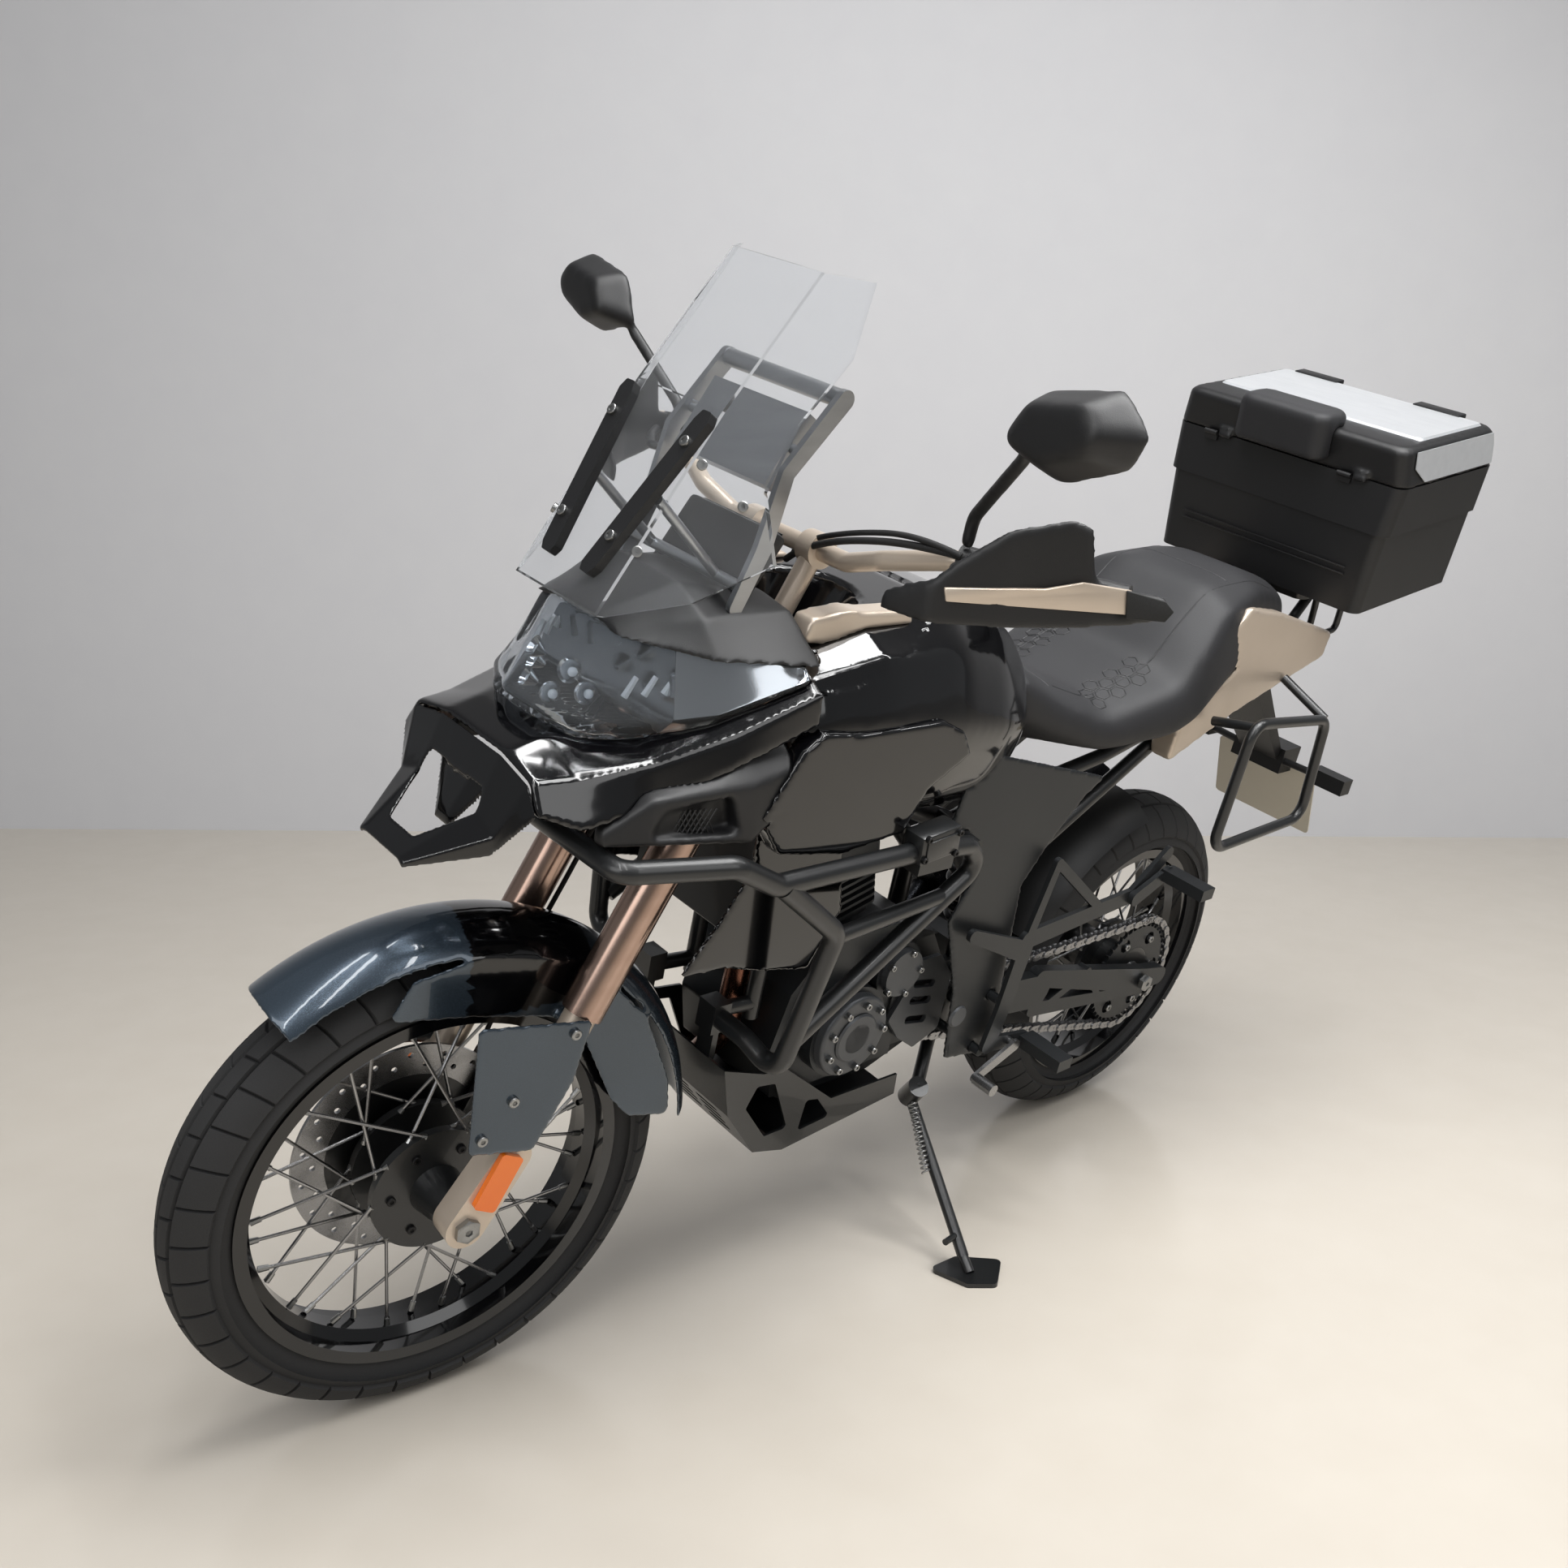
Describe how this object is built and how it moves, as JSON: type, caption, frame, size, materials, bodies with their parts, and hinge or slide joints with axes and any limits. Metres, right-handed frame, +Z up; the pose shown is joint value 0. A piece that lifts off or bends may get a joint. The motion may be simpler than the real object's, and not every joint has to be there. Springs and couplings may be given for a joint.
{
  "type": "adventure motorcycle",
  "caption": "Adventure touring motorcycle with spoked wheels, tall windscreen, crash bars, pannier racks and a top case, leaning on its side stand.",
  "frame": {"origin": "on the ground under the centre of the bounding box, as parked leaning on its side stand", "axes": "+X forward, +Y to the rider's left, +Z up"},
  "size_m": [2.2408, 1.0674, 1.4942],
  "materials": {
    "amber": "gloss",
    "black_steel": "satin",
    "blue_grey_panel": "satin metallic",
    "bronze": "polished",
    "champagne": "satin metallic",
    "clear": "clear",
    "dark_alloy": "satin",
    "gloss_black": "gloss",
    "gloss_panel": "gloss",
    "grey_alloy": "satin",
    "lamp": "gloss",
    "matte_black": "matte",
    "pipe_steel": "heat-stained",
    "plate": "satin",
    "seat_cover": "matte",
    "silver_panel": "satin",
    "steel": "brushed",
    "tyre": "rough"
  },
  "bodies": {
    "chassis": {"beak": "gloss_panel", "carrier": "black_steel", "case_body": "matte_black", "chain": "steel", "crash_bars": "black_steel", "engine": "dark_alloy", "engine_covers": "dark_alloy", "exhaust": "pipe_steel", "fairing": "gloss_panel", "foot_controls": "steel", "footrest_hangers": "dark_alloy", "fuel_tank": "gloss_black", "headlight": "lamp", "headlight_lens": "clear", "hugger": "matte_black", "main_frame": "black_steel", "number_plate": "plate", "pannier_racks": "black_steel", "radiator": "black_steel", "screen_bars": "matte_black", "screen_support": "grey_alloy", "seat": "seat_cover", "shock": "black_steel", "shrouds": "gloss_panel", "side_covers": "dark_alloy", "side_panels": "gloss_panel", "skid_plate": "black_steel", "swingarm": "dark_alloy", "tail_panels": "champagne", "tail_unit": "matte_black", "tank_cover": "champagne", "upper_cowl": "matte_black", "vent_cowls": "matte_black", "windscreen": "clear"},
    "steering": {"fork_lowers": "champagne", "fork_outers": "bronze", "fork_clamps": "black_steel", "handlebar": "champagne", "hand_controls": "matte_black", "handguards": "matte_black", "mirrors": "matte_black", "front_fender": "blue_grey_panel", "fork_guards": "blue_grey_panel", "reflectors": "amber", "front_caliper": "black_steel"},
    "front_wheel": {"front_tyre": "tyre", "front_rim": "gloss_black", "front_hub": "black_steel", "front_disc": "steel"},
    "rear_wheel": {"rear_tyre": "tyre", "rear_rim": "gloss_black", "rear_hub": "black_steel", "rear_disc": "steel", "rear_sprocket": "dark_alloy"},
    "side_stand": {"side_stand": "black_steel"},
    "case_lid": {"case_lid": "matte_black", "lid_panel": "silver_panel", "backrest_pad": "seat_cover"}
  },
  "joints": [
    {"name": "steering_turn", "type": "hinge", "parent": "chassis", "child": "steering", "pos_m": [0.44236, -0.09901, 0.9064], "axis": [-0.4393, 0.2296, 0.8685], "range_deg": [-30, 44]},
    {"name": "front_wheel_spin", "type": "hinge", "parent": "steering", "child": "front_wheel", "pos_m": [0.7931, -0.25943, 0.32338], "axis": [0.1097, 0.9733, -0.2018], "continuous": true},
    {"name": "rear_wheel_spin", "type": "hinge", "parent": "chassis", "child": "rear_wheel", "pos_m": [-0.61156, -0.25582, 0.31184], "axis": [0.0003, 0.9668, -0.2554], "continuous": true},
    {"name": "side_stand_fold", "type": "hinge", "parent": "chassis", "child": "side_stand", "pos_m": [-0.02147, -0.15655, 0.22623], "axis": [0.2385, 0.7028, 0.6702], "range_deg": [0, 90]},
    {"name": "case_lid_open", "type": "hinge", "parent": "chassis", "child": "case_lid", "pos_m": [-0.75759, -0.01519, 1.22242], "axis": [0.0003, 0.9668, -0.2554], "range_deg": [0, 75]}
  ]
}
